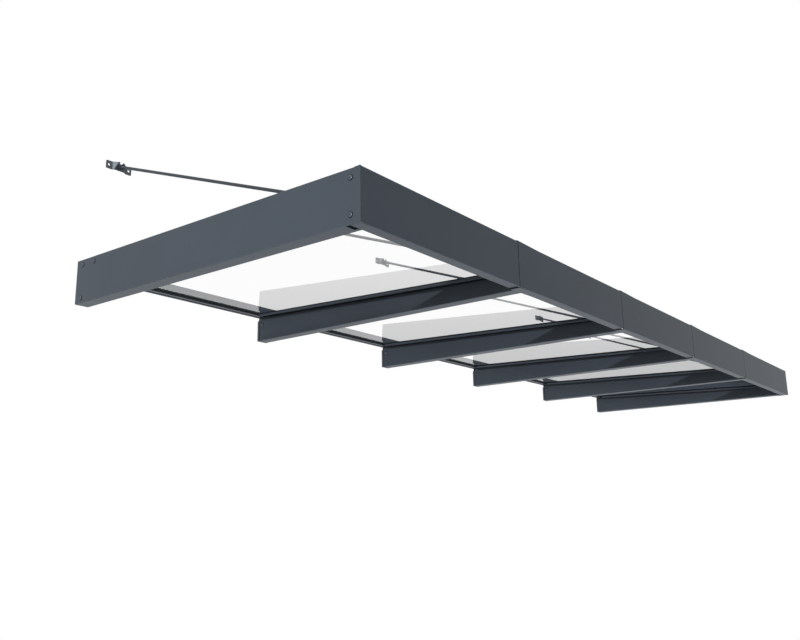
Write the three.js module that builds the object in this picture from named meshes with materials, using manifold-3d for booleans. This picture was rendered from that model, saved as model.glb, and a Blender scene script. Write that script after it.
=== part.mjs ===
// Door canopy: five clear roof sheets in a level frame of folded metal, hung from a wall by six tie rods.
// Millimetres. +X runs along the wall, +Y into the wall, +Z up.
// Heights are counted from the frame's underside. The whole frame is then set so that the origin lies
// on the wall plane, on the back face of the middle wall profile, halfway along the canopy.

import * as THREE from 'three';
import { mergeVertices } from 'three/addons/utils/BufferGeometryUtils.js';
import Module from 'manifold-3d';

const wasm = await Module();
wasm.setup();

// Frame
const BAYS = 5;
const PITCH = 594;
const RAFTER_WIDTH = 35;
const SIDE_WIDTH = 38;
const DEPTH = 920;
const HEIGHT = 111.5;
const METAL = 2;
const GAP = 0.3;

// Fascia: a face with an underside that turns up into a rain channel, and a stiffening fold along the top
const UNDERSIDE_DEPTH = 28.5;
const CHANNEL_LIP = 12;
const TOP_FOLD = 14;
const SEAM_GAP = 1.2;
const SEAM_OFFSET = 38.5;
const DRAIN_SLOT = { width: 6.5, length: 28 };

// Roof: the sheets fall to the front
const SLOPE = THREE.MathUtils.degToRad(2.1);
const SHEET_HEIGHT = 78.1;
const SHEET_THICKNESS = 4;
const SHEET_FRONT = 899;
const SHEET_BACK = 6;
const SHEET_INSET = 4;

// Glazing bars, measured from the bar's centre and from the underside of the sheets
const WEB = 1.5;
const CAP_HALF = 20;
const CAP_UNDERSIDE = 5.5;
const FLANGE_HALF = 42;
const FLANGE_TOP = -3;
const LIP_BOTTOM = -9.5;
const STEM_BOTTOM = -24;
const COVER_DROP = 8;
const WING_BACK = -41.5;
const SPLICE = { left: 75, right: 40, bottom: 18, top: 40 };

// Gaskets under the sheets' back edges
const NOSE = { depth: 8.4, height: 3.1 };

// Wall profiles
const WALL_BOTTOM = 73.6;
const WALL_METAL = 3;
const LEDGE_INSET = 16;
const SHELF_DEPTH = 32;
const SHELF_METAL = 2.5;
const SHELF_REBATE = 5.5;
const SHELF_GROOVE = { from: 8, width: 5, depth: 1.2 };
const SEAL_DEPTH = 20;
const SEAL_BOTTOM = 82.5;

// Rafter end caps
const CAP_FACE = { front: 16.5, back: 7.5, top: 65, chamfer: 6 };
const SPIGOT = { front: 33, top: 50 };

// Tie rods and their brackets
const ROD_ANGLE = THREE.MathUtils.degToRad(20.5);
const ROD_DIAMETER = 8;
const ROD_TAIL = 6;
const END_ROD_INSET = 96.5;
const BRACKET_HEIGHT = 392.5;
const BRACKET = {
  halfWidth: 38,
  halfHeight: 11,
  foot: 22.4,
  crown: 9.75,
  holeOffset: 29.6,
  hole: 6.5,
  slot: 9,
};
const NUT = { radius: 7.5, length: 6.5, thinLength: 3 };
const ROUND_SIDES = 20;

// Angles inside the corners
const WALL_ANGLE = { depth: 85, width: 34, bottom: 6, top: 104 };
const CORNER_ANGLE = { depth: 42, width: 40, bottom: 12.5, top: 104 };

// Worked out from the driving dimensions
const CLEAR = PITCH - RAFTER_WIDTH;
const LENGTH = BAYS * CLEAR + (BAYS - 1) * RAFTER_WIDTH + 2 * SIDE_WIDTH;
const HALF_LENGTH = LENGTH / 2;
const FASCIA_INSIDE = -DEPTH + METAL;
const CHANNEL_INSIDE = -DEPTH + UNDERSIDE_DEPTH;
const RAFTER_FRONT = CHANNEL_INSIDE + DRAIN_SLOT.width;
const FOOT_FRONT = CHANNEL_INSIDE + GAP;
const FLANGE_BOTTOM = FLANGE_TOP - METAL;
const CAP_TOP = CAP_UNDERSIDE + METAL;
const STEM_OUTER = RAFTER_WIDTH / 2 - METAL - GAP;
const STEM_INNER = STEM_OUTER - METAL;
const BAR_BACK = -WALL_METAL - GAP;
const MOUNT_HEIGHT = (WALL_BOTTOM + HEIGHT) / 2;
const ROD_SPAN = -FASCIA_INSIDE - GAP - 2 * BRACKET.crown;
const FRONT_BRACKET_HEIGHT = BRACKET_HEIGHT - ROD_SPAN * Math.tan(ROD_ANGLE);
const WELL_CLEAR = 60;

// Finishes
const POWDER_COAT = { color: 0x3f454c, roughness: 0.55, metalness: 0.25 };
const BAR_COAT = { color: 0x363b41, roughness: 0.5, metalness: 0.3 };
const ROD_COAT = { color: 0x4a4f55, roughness: 0.45, metalness: 0.5 };
const RUBBER = { color: 0x0d1013, roughness: 0.85, metalness: 0 };
const CAP_PLASTIC = { color: 0x454b51, roughness: 0.6, metalness: 0 };
const CLEAR_SHEET = { color: 0xeef3f5, roughness: 0.05, metalness: 0, transparent: true, opacity: 0.25 };

const rafterX = (index) => (index - BAYS / 2) * PITCH;
const coverTop = (y) => SHEET_HEIGHT - COVER_DROP + y * Math.tan(SLOPE);
const slopedFrame = new THREE.Matrix4()
  .makeTranslation(0, 0, SHEET_HEIGHT)
  .multiply(new THREE.Matrix4().makeRotationX(SLOPE));

// A closed geometry as a body that can be joined and cut.
function body(geometry) {
  const bare = geometry.clone();
  bare.deleteAttribute('normal');
  bare.deleteAttribute('uv');
  const merged = mergeVertices(bare);
  const vertProperties = new Float32Array(merged.attributes.position.array);
  const triVerts = new Uint32Array(merged.index.array);
  return new wasm.Manifold(new wasm.Mesh({ numProp: 3, vertProperties, triVerts }));
}

// The geometry of a joined or cut body.
function geometryOf(solid) {
  const { vertProperties, triVerts } = solid.getMesh();
  const geometry = new THREE.BufferGeometry();
  geometry.setAttribute('position', new THREE.BufferAttribute(vertProperties, 3));
  geometry.setIndex(new THREE.BufferAttribute(triVerts, 1));
  geometry.computeVertexNormals();
  return geometry;
}

function joined(...geometries) {
  return geometries.map(body).reduce((whole, next) => whole.add(next));
}

function box(xs, ys, zs) {
  const size = [xs, ys, zs].map(([a, b]) => Math.abs(b - a));
  const middle = [xs, ys, zs].map(([a, b]) => (a + b) / 2);
  return new THREE.BoxGeometry(...size).translate(...middle);
}

function extrusion(points, length) {
  const shape = new THREE.Shape(points.map(([a, b]) => new THREE.Vector2(a, b)));
  return new THREE.ExtrudeGeometry(shape, { depth: length, bevelEnabled: false });
}

// A bar along X from an outline of [y, z] points.
function barX(outline, from, to) {
  const start = Math.min(from, to);
  const turn = new THREE.Matrix4().set(0, 0, 1, start, 1, 0, 0, 0, 0, 1, 0, 0, 0, 0, 0, 1);
  return extrusion(outline, Math.abs(to - from)).applyMatrix4(turn);
}

// A bar along Y from an outline of [x, z] points.
function barY(outline, from, to) {
  const turn = new THREE.Matrix4().set(0, 1, 0, 0, 0, 0, 1, from, 1, 0, 0, 0, 0, 0, 0, 1);
  return extrusion(outline.map(([x, z]) => [z, x]), to - from).applyMatrix4(turn);
}

// A round or six-sided bar along Y.
function cylinderY(radius, from, to, sides = ROUND_SIDES) {
  return new THREE.CylinderGeometry(radius, radius, to - from, sides).translate(0, (from + to) / 2, 0);
}

function piece(name, geometry, finish) {
  const mesh = new THREE.Mesh(geometry, new THREE.MeshStandardMaterial(finish));
  mesh.name = name;
  return mesh;
}

// One fascia piece: face, underside with the channel's lip, and top fold.
function fascia(index) {
  const first = index === 1;
  const last = index === BAYS;
  const end = HALF_LENGTH - METAL - GAP;
  const left = first ? -end : rafterX(index - 1) - SEAM_OFFSET + SEAM_GAP / 2;
  const right = last ? end : rafterX(index) - SEAM_OFFSET - SEAM_GAP / 2;
  const outline = [
    [-DEPTH, 0],
    [CHANNEL_INSIDE, 0],
    [CHANNEL_INSIDE, CHANNEL_LIP],
    [CHANNEL_INSIDE - METAL, CHANNEL_LIP],
    [CHANNEL_INSIDE - METAL, METAL],
    [FASCIA_INSIDE, METAL],
    [FASCIA_INSIDE, HEIGHT - METAL],
    [-DEPTH + TOP_FOLD, HEIGHT - METAL],
    [-DEPTH + TOP_FOLD, HEIGHT],
    [-DEPTH, HEIGHT],
  ];
  return piece(`fascia_${index}`, barX(outline, left, right), POWDER_COAT);
}

// A side panel, with a drain slot in the front of its underside.
// Hand is -1 on the left and 1 on the right; widths count inwards from the outer face.
function sidePanel(name, hand) {
  const across = (from, to) => [hand * (HALF_LENGTH - from), hand * (HALF_LENGTH - to)];
  const innerLeg = [
    [RAFTER_FRONT, 0],
    [0, 0],
    [0, coverTop(0)],
    [RAFTER_FRONT, coverTop(RAFTER_FRONT)],
  ];
  const panel = joined(
    box(across(0, METAL), [-DEPTH, 0], [0, HEIGHT]),
    box(across(0, SIDE_WIDTH), [RAFTER_FRONT, 0], [0, METAL]),
    box(across(DRAIN_SLOT.length, SIDE_WIDTH), [FOOT_FRONT, RAFTER_FRONT + METAL], [0, METAL]),
    box(across(0, TOP_FOLD), [-DEPTH + TOP_FOLD + GAP, 0], [HEIGHT - METAL, HEIGHT]),
    barX(innerLeg, ...across(SIDE_WIDTH - METAL, SIDE_WIDTH)),
  );
  return piece(name, geometryOf(panel), POWDER_COAT);
}

// An angle of two legs in a corner of the frame: one on the side panel, one on the wall or the fascia.
function cornerAngle(name, hand, size, facePlane, into) {
  const across = (from, to) => [hand * (HALF_LENGTH - from), hand * (HALF_LENGTH - to)];
  const inside = METAL + GAP;
  const heights = [size.bottom, size.top];
  const angle = joined(
    box(across(inside, inside + METAL), [facePlane, facePlane + into * size.depth], heights),
    box(across(inside, size.width), [facePlane, facePlane + into * METAL], heights),
  );
  return piece(name, geometryOf(angle), POWDER_COAT);
}

// A rafter cover: a channel, open at the top, whose legs follow the fall of the roof.
// Its underside meets the fascia's, and its legs stop short of the rain channel.
function rafterCover(index) {
  const centre = rafterX(index);
  const half = RAFTER_WIDTH / 2;
  const back = -CAP_FACE.front - GAP;
  const side = [
    [RAFTER_FRONT, 0],
    [back, 0],
    [back, coverTop(back)],
    [RAFTER_FRONT, coverTop(RAFTER_FRONT)],
  ];
  const inside = box(
    [centre - half + METAL, centre + half - METAL],
    [RAFTER_FRONT - WELL_CLEAR, WELL_CLEAR],
    [METAL, HEIGHT],
  );
  const foot = box([centre - half, centre + half], [FOOT_FRONT, RAFTER_FRONT + METAL], [0, METAL]);
  const channel = joined(barX(side, centre - half, centre + half), foot).subtract(body(inside));
  return piece(`rafter_cover_${index}`, geometryOf(channel), POWDER_COAT);
}

// The cap in a rafter's back end: a face with a cut corner and a spigot inside the channel.
function rafterEndCap(index) {
  const centre = rafterX(index);
  const half = RAFTER_WIDTH / 2;
  const face = [
    [-CAP_FACE.front, 0],
    [-CAP_FACE.back, 0],
    [-CAP_FACE.back, CAP_FACE.top - CAP_FACE.chamfer],
    [-CAP_FACE.back - CAP_FACE.chamfer, CAP_FACE.top],
    [-CAP_FACE.front, CAP_FACE.top],
  ];
  const cap = joined(
    barX(face, centre - half, centre + half),
    box(
      [centre - STEM_OUTER, centre + STEM_OUTER],
      [-SPIGOT.front, -CAP_FACE.front],
      [METAL + GAP, SPIGOT.top],
    ),
  );
  return piece(`rafter_end_cap_${index}`, geometryOf(cap), CAP_PLASTIC);
}

// One half of a glazing bar's section, from the top of its web down to the middle of its flange.
const HALF_BAR = [
  [CAP_HALF, CAP_TOP],
  [CAP_HALF, CAP_UNDERSIDE],
  [WEB, CAP_UNDERSIDE],
  [WEB, FLANGE_TOP],
  [FLANGE_HALF, FLANGE_TOP],
  [FLANGE_HALF, LIP_BOTTOM],
  [FLANGE_HALF - METAL, LIP_BOTTOM],
  [FLANGE_HALF - METAL, FLANGE_BOTTOM],
  [STEM_OUTER, FLANGE_BOTTOM],
  [STEM_OUTER, STEM_BOTTOM],
  [STEM_INNER, STEM_BOTTOM],
  [STEM_INNER, FLANGE_BOTTOM],
];

// A bar of the roof along the fall, cut plumb at both ends. Its upper part stops with the sheets,
// its stem stops short of the wall, and its flange's wings stop in front of the wall profiles' shelves.
function roofBar(section, centre, front) {
  const outline = section.map(([across, up]) => [centre + across, up]);
  const sides = [centre - FLANGE_HALF - WELL_CLEAR, centre + FLANGE_HALF + WELL_CLEAR];
  const ends = [-DEPTH - WELL_CLEAR, WELL_CLEAR];
  const upperPart = box(sides, [ends[0], -SHEET_FRONT], [FLANGE_TOP, CAP_TOP + WELL_CLEAR]);
  const stemEnd = box(
    [centre - STEM_OUTER - METAL, centre + STEM_OUTER + METAL],
    [-CAP_FACE.front - METAL, ends[1]],
    [STEM_BOTTOM - METAL, FLANGE_BOTTOM],
  );
  const wingEnds = [-1, 1].map((hand) => box(
    [centre + hand * STEM_OUTER, centre + hand * (FLANGE_HALF + METAL)],
    [WING_BACK, ends[1]],
    [LIP_BOTTOM - METAL, 0],
  ));
  return body(barY(outline, ...ends).applyMatrix4(slopedFrame))
    .subtract(body(upperPart.applyMatrix4(slopedFrame)))
    .subtract(body(stemEnd.applyMatrix4(slopedFrame)))
    .subtract(body(wingEnds[0].applyMatrix4(slopedFrame)))
    .subtract(body(wingEnds[1].applyMatrix4(slopedFrame)))
    .intersect(body(box(sides, [front, BAR_BACK], [-WELL_CLEAR, HEIGHT])));
}

// A glazing bar over a rafter, with the plate at its front that ties two fascia pieces together.
function glazingBar(index) {
  const centre = rafterX(index);
  const otherHalf = HALF_BAR.map(([across, up]) => [-across, up]).reverse();
  const front = FASCIA_INSIDE + GAP;
  const splice = box(
    [centre - SPLICE.left, centre + SPLICE.right],
    [front, front + METAL],
    [SPLICE.bottom, SPLICE.top],
  );
  const bar = roofBar([...HALF_BAR, ...otherHalf], centre, front).add(body(splice));
  return piece(`glazing_bar_${index}`, geometryOf(bar), BAR_COAT);
}

// Half a glazing bar along a side panel.
function edgeBar(name, hand) {
  const half = HALF_BAR.map(([across, up]) => [-hand * across, up]);
  const plainSide = [[hand * WEB, FLANGE_BOTTOM], [hand * WEB, CAP_TOP]];
  const front = FASCIA_INSIDE + METAL + 2 * GAP;
  const bar = roofBar([...half, ...plainSide], hand * (BAYS / 2) * PITCH, front);
  return piece(name, geometryOf(bar), BAR_COAT);
}

// A wall profile: a flange on the wall, a seal lip, and a shelf under the sheet with a groove
// and a rebate for rubber in its underside.
function wallProfile(index) {
  const first = index === 1;
  const last = index === BAYS;
  const flangeEnd = HALF_LENGTH - WALL_ANGLE.width - 1;
  const left = first ? -flangeEnd : rafterX(index - 1) + GAP;
  const right = last ? flangeEnd : rafterX(index) - GAP;
  const ledgeLeft = rafterX(index - 1) + LEDGE_INSET;
  const ledgeRight = rafterX(index) - LEDGE_INSET;
  const sealLeft = rafterX(index - 1) + CAP_HALF + 1;
  const sealRight = rafterX(index) - CAP_HALF - 1;
  const { from, width, depth } = SHELF_GROOVE;
  const shelf = [
    [0, WALL_BOTTOM],
    [-from, WALL_BOTTOM],
    [-from, WALL_BOTTOM + depth],
    [-from - width, WALL_BOTTOM + depth],
    [-from - width, WALL_BOTTOM],
    [-SHELF_DEPTH + SHELF_REBATE, WALL_BOTTOM],
    [-SHELF_DEPTH + SHELF_REBATE, WALL_BOTTOM + depth],
    [-SHELF_DEPTH, WALL_BOTTOM + depth],
    [-SHELF_DEPTH, WALL_BOTTOM + SHELF_METAL],
    [0, WALL_BOTTOM + SHELF_METAL],
  ];
  const profile = joined(
    box([left, right], [-WALL_METAL, 0], [WALL_BOTTOM, HEIGHT]),
    barX(shelf, ledgeLeft, ledgeRight),
    box([sealLeft, sealRight], [-SEAL_DEPTH, -WALL_METAL], [SEAL_BOTTOM, SEAL_BOTTOM + METAL]),
  );
  return piece(`wall_profile_${index}`, geometryOf(profile), BAR_COAT);
}

// A clear sheet, in the sloped frame.
function roofSheet(index) {
  const sheet = box(
    [rafterX(index - 1) + SHEET_INSET, rafterX(index) - SHEET_INSET],
    [-SHEET_FRONT, -SHEET_BACK],
    [0, SHEET_THICKNESS],
  );
  return piece(`roof_sheet_${index}`, sheet, CLEAR_SHEET);
}

// The gasket under a sheet's back edge, in the sloped frame: a nose in front of the wall profile's shelf.
function sheetGasket(index) {
  const left = rafterX(index - 1) + LEDGE_INSET;
  const right = rafterX(index) - LEDGE_INSET;
  const back = -SHELF_DEPTH - GAP;
  const nose = box([left, right], [back - NOSE.depth, back], [-NOSE.height - GAP, -GAP]);
  return piece(`sheet_gasket_${index}`, nose, RUBBER);
}

// A block on the wall plane that narrows at 45 degrees towards a crown set square to the rod.
function bracketBlock(foot, crownOut, height, base) {
  const block = new THREE.BoxGeometry(2, 2, 2);
  const corners = block.attributes.position;
  for (let i = 0; i < corners.count; i += 1) {
    const up = corners.getZ(i) * height;
    const out = corners.getY(i) < 0 ? crownOut + up * Math.tan(ROD_ANGLE) : base;
    corners.setXYZ(i, corners.getX(i) * (foot - out), -out, up);
  }
  return block;
}

// A pressed bracket of hat section: two ears with a hole each, and a crown with an open slot for the rod.
function bracketGeometry() {
  const { halfWidth, halfHeight, foot, crown, holeOffset, hole, slot } = BRACKET;
  const outside = bracketBlock(foot, crown, halfHeight, 0);
  const innerFoot = foot - METAL * Math.SQRT2;
  const innerCrown = crown - METAL / Math.cos(ROD_ANGLE);
  const inside = bracketBlock(innerFoot, innerCrown, halfHeight + 1, -1);
  const ears = box([-halfWidth, halfWidth], [-METAL, 0], [-halfHeight, halfHeight]);
  const drill = cylinderY(hole / 2, -halfWidth, halfWidth);
  const rodSlot = joined(
    cylinderY(slot / 2, -halfWidth, halfWidth),
    box([-slot / 2, slot / 2], [-halfWidth, halfWidth], [0, halfWidth]),
  );
  const slotCutter = geometryOf(rodSlot).rotateX(ROD_ANGLE).translate(0, -crown, 0);
  const bracket = joined(outside, ears)
    .subtract(body(inside))
    .subtract(body(slotCutter))
    .subtract(body(drill.clone().translate(-holeOffset, 0, 0)))
    .subtract(body(drill.clone().translate(holeOffset, 0, 0)));
  return geometryOf(bracket);
}

// A tie rod with its nuts, along Y: the wall bracket's crown is at 0 and the front one's at -length.
function tieRodGeometry() {
  const length = ROD_SPAN / Math.cos(ROD_ANGLE);
  const nut = (from, to) => cylinderY(NUT.radius, from, to, 6);
  const behindCrown = METAL + GAP;
  const rod = joined(
    cylinderY(ROD_DIAMETER / 2, -length - ROD_TAIL, ROD_TAIL),
    nut(-GAP - NUT.length, -GAP),
    nut(behindCrown, behindCrown + NUT.thinLength),
    nut(-length + GAP, -length + GAP + NUT.length),
    nut(-length - behindCrown - NUT.thinLength, -length - behindCrown),
  );
  return geometryOf(rod);
}

// One tie rod with its two brackets. The front bracket is the same pressing, turned over.
function tie(index, x, shapes) {
  const group = new THREE.Group();
  group.position.x = x;
  const wallBracket = piece(`wall_bracket_${index}`, shapes.bracket, ROD_COAT);
  wallBracket.position.z = BRACKET_HEIGHT;
  const rod = piece(`tie_rod_${index}`, shapes.rod, ROD_COAT);
  rod.position.set(0, -BRACKET.crown, BRACKET_HEIGHT);
  rod.rotation.x = ROD_ANGLE;
  const frontBracket = piece(`front_bracket_${index}`, shapes.bracket, ROD_COAT);
  frontBracket.position.set(0, FASCIA_INSIDE + GAP, FRONT_BRACKET_HEIGHT);
  frontBracket.rotation.x = Math.PI;
  group.add(wallBracket, rod, frontBracket);
  return group;
}

const frame = new THREE.Group();
frame.position.z = -MOUNT_HEIGHT;

const roof = new THREE.Group();
roof.position.z = SHEET_HEIGHT;
roof.rotation.x = SLOPE;
frame.add(roof);

for (let bay = 1; bay <= BAYS; bay += 1) {
  frame.add(fascia(bay), wallProfile(bay));
  roof.add(roofSheet(bay), sheetGasket(bay));
}

for (let rafter = 1; rafter < BAYS; rafter += 1) {
  frame.add(rafterCover(rafter), rafterEndCap(rafter), glazingBar(rafter));
}

for (const [side, hand] of [['left', -1], ['right', 1]]) {
  frame.add(sidePanel(`side_panel_${side}`, hand), edgeBar(`edge_bar_${side}`, hand));
  frame.add(cornerAngle(`wall_angle_${side}`, hand, WALL_ANGLE, 0, -1));
  frame.add(cornerAngle(`corner_angle_${side}`, hand, CORNER_ANGLE, FASCIA_INSIDE + GAP, 1));
}

const endRodX = HALF_LENGTH - END_ROD_INSET;
const rafterRods = Array.from({ length: BAYS - 1 }, (_, i) => rafterX(i + 1));
const shapes = { bracket: bracketGeometry(), rod: tieRodGeometry() };
[-endRodX, ...rafterRods, endRodX].forEach((x, i) => frame.add(tie(i + 1, x, shapes)));

const canopy = new THREE.Group();
canopy.add(frame);

export default canopy;
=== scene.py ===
"""Visual model of a wall-fixed door canopy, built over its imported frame.

Metres, with +X along the wall, +Y into the wall and +Z up. Every piece rides the one rigid body.
"""

import logging
import math
from dataclasses import dataclass
from enum import Enum
from functools import partial
from typing import Callable, Iterable, Iterator, Sequence

import bmesh
import bpy
from bmesh.types import BMEdge, BMFace, BMVert
from mathutils import Matrix, Vector

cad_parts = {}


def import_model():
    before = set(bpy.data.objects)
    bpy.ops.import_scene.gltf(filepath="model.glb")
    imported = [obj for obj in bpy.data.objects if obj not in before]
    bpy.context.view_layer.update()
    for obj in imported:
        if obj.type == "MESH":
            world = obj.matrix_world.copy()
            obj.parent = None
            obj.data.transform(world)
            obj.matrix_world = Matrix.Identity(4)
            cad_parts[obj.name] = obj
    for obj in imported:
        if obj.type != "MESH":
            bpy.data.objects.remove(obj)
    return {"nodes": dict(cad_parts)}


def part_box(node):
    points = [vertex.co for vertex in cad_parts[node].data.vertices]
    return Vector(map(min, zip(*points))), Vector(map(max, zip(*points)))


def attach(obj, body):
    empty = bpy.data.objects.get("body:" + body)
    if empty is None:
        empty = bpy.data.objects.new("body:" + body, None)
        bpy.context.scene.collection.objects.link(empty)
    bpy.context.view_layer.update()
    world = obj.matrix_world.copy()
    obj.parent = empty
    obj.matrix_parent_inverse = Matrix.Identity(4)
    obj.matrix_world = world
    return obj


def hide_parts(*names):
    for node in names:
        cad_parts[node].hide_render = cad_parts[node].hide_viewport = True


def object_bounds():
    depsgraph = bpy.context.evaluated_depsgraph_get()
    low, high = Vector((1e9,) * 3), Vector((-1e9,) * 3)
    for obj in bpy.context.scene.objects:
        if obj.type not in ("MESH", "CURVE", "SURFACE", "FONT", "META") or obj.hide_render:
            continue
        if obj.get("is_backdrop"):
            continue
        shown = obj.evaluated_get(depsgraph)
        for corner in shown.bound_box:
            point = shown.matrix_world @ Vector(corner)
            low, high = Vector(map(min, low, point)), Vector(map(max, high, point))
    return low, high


LOG = logging.getLogger("canopy")
BODY = "root"
MM = 0.001
# How near to a plane a point on it lies, and how near the middle of a face on it
TINY = 1e-6
HAIR = 1e-5
BAYS = 5
RAFTERS = BAYS - 1
RODS = BAYS + 1
SHEET_INSET = 4.0 * MM
FOLD_FACETS = 4
HEXAGON = 6
SHARP_ANGLE = math.radians(40.0)
FACE_WEIGHT = 100
FINE_DETAIL = 3.0
WHITE = (1.0, 1.0, 1.0)

Pair = tuple[float, float]
Triple = tuple[float, float, float]
Section = Sequence[Pair]
Pieces = list[bpy.types.Object]
FaceTest = Callable[[BMFace], bool]
EdgeTest = Callable[[BMEdge], bool]


class Run(Enum):
    """The axis that a section is drawn along."""

    X = 0
    Y = 1
    Z = 2

    def point(self, along: float, a: float = 0.0, b: float = 0.0) -> Vector:
        """Point at a distance along the axis.

        Args:
            along: Distance along the axis.
            a: First coordinate of the section, y where the axis is X and x otherwise.
            b: Second coordinate of the section, y where the axis is Z and z otherwise.

        Returns:
            The point.
        """
        parts = [a, b]
        parts.insert(self.value, along)
        return Vector(parts)


class Side(Enum):
    """The canopy's two sides, valued by the direction in which they face."""

    LEFT = -1
    RIGHT = 1

    @property
    def word(self) -> str:
        """The side's word in node names."""
        return self.name.lower()


class End(Enum):
    """The ends of the canopy's depth, valued by their word in node names."""

    WALL = "wall"
    FRONT = "front"


class Slot(Enum):
    """Material slots of the record."""

    POWDER_COAT = "powder_coat"
    BAR = "bar"
    END_CAP = "end_cap"
    CLEAR_SHEET = "clear_sheet"
    GASKET = "gasket"
    ROD = "rod"


def linear(*parts: int) -> Triple:
    """Linear colour of an sRGB colour.

    Args:
        parts: Red, green and blue, 0 to 255.

    Returns:
        The linear parts, 0 to 1.
    """
    shares = (part / 255 for part in parts)
    return tuple(
        share / 12.92 if share <= 0.04045 else ((share + 0.055) / 1.055) ** 2.4 for share in shares
    )


class Sock:
    """A shader output that takes part in ordinary arithmetic."""

    def __init__(self, graph: "Graph", socket: bpy.types.NodeSocket) -> None:
        """Wraps an output of one of a graph's nodes."""
        self.graph = graph
        self.socket = socket

    def _math(self, operation: str, *values: "Sock | float") -> "Sock":
        """Result of a Math node on the values."""
        return self.graph.node("ShaderNodeMath", {"operation": operation}, dict(enumerate(values)))

    def __add__(self, other: "Sock | float") -> "Sock":
        """Sum."""
        return self._math("ADD", self, other)

    def __radd__(self, other: float) -> "Sock":
        """Sum with a number in front."""
        return self._math("ADD", other, self)

    def __sub__(self, other: "Sock | float") -> "Sock":
        """Difference."""
        return self._math("SUBTRACT", self, other)

    def __rsub__(self, other: float) -> "Sock":
        """Difference from a number."""
        return self._math("SUBTRACT", other, self)

    def __mul__(self, other: "Sock | float") -> "Sock":
        """Product."""
        return self._math("MULTIPLY", self, other)

    def __rmul__(self, other: float) -> "Sock":
        """Product with a number in front."""
        return self._math("MULTIPLY", other, self)

    def clamped(self) -> "Sock":
        """The value kept between 0 and 1."""
        return self.graph.node("ShaderNodeClamp", {}, {0: self})

    def stretched(self, low: float, high: float, top: float = 1.0) -> "Sock":
        """The value taken smoothly from a range to 0 and up, and clamped.

        Args:
            low: Value that becomes 0.
            high: Value that becomes the top.
            top: The highest result.

        Returns:
            The stretched value.
        """
        inputs = {0: self, 1: low, 2: high, 3: 0.0, 4: top}
        return self.graph.node("ShaderNodeMapRange", {"interpolation_type": "SMOOTHSTEP"}, inputs)


class Graph:
    """A node tree that is written as expressions."""

    def __init__(self, owner: bpy.types.Material | bpy.types.World) -> None:
        """Empties the owner's node tree.

        Args:
            owner: The material or the world.
        """
        owner.use_nodes = True
        self.tree = owner.node_tree
        self.tree.nodes.clear()

    def node(self, kind: str, settings: dict, inputs: dict, output: int | str = 0) -> Sock:
        """Adds any node.

        Args:
            kind: The node's type.
            settings: The node's own properties.
            inputs: Values or sockets by input name or number.
            output: The output to return.

        Returns:
            The chosen output.
        """
        made = self.tree.nodes.new(kind)
        for key, value in settings.items():
            setattr(made, key, value)
        for key, value in inputs.items():
            if isinstance(value, Sock):
                self.tree.links.new(value.socket, made.inputs[key])
            else:
                made.inputs[key].default_value = value
        return Sock(self, made.outputs[output])

    def place(self) -> Sock:
        """Object coordinates."""
        return self.node("ShaderNodeTexCoord", {}, {}, "Object")

    def stretch(self, vector: Sock, scale: Triple) -> Sock:
        """Coordinates scaled by axis."""
        return self.node("ShaderNodeVectorMath", {"operation": "MULTIPLY"}, {0: vector, 1: scale})

    def noise(self, vector: Sock, scale: float = 1.0, detail: float = 2.0) -> Sock:
        """Noise about 0.5 at a scale in cycles per metre."""
        return self.node("ShaderNodeTexNoise", {}, {"Vector": vector, "Scale": scale, "Detail": detail})

    def mix(self, factor: Sock | float, low: Triple, high: Triple) -> Sock:
        """Colour between two colours."""
        # A Mix node has its colours at inputs 6 and 7, and at output 2
        inputs = {0: factor, 6: (*low, 1.0), 7: (*high, 1.0)}
        return self.node("ShaderNodeMix", {"data_type": "RGBA"}, inputs, 2)

    def bump(self, height: Sock, strength: float, distance: float = 0.2 * MM) -> Sock:
        """Normal of a bumpy surface."""
        inputs = {"Height": height, "Strength": strength, "Distance": distance}
        return self.node("ShaderNodeBump", {}, inputs, "Normal")

    def principled(self, inputs: dict) -> Sock:
        """Principled shader with the given inputs."""
        return self.node("ShaderNodeBsdfPrincipled", {}, inputs)

    def background(self, colour: Triple, strength: float) -> Sock:
        """Light of a world."""
        return self.node("ShaderNodeBackground", {}, {"Color": (*colour, 1.0), "Strength": strength})

    def blend(self, factor: Sock | float, low: Sock, high: Sock) -> Sock:
        """Shader between two shaders."""
        return self.node("ShaderNodeMixShader", {}, {0: factor, 1: low, 2: high})

    def output(self, kind: str, shader: Sock) -> None:
        """Puts a shader on an output node of the given type."""
        made = self.tree.nodes.new(kind)
        self.tree.links.new(shader.socket, made.inputs["Surface"])


@dataclass(frozen=True)
class Finish:
    """The finish of a surface, of which each kind writes its own shader."""

    name: str
    colour: Triple

    def make(self) -> bpy.types.Material:
        """Builds the material.

        Returns:
            The material.
        """
        material = bpy.data.materials.new(self.name)
        graph = Graph(material)
        graph.output("ShaderNodeOutputMaterial", self.shader(graph, graph.place()))
        return material

    def shader(self, graph: Graph, place: Sock) -> Sock:
        """Writes the shader into a graph, on Object coordinates."""
        raise NotImplementedError

    def tone(self, share: float) -> Triple:
        """The colour made darker or paler."""
        return tuple(part * share for part in self.colour)


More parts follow.
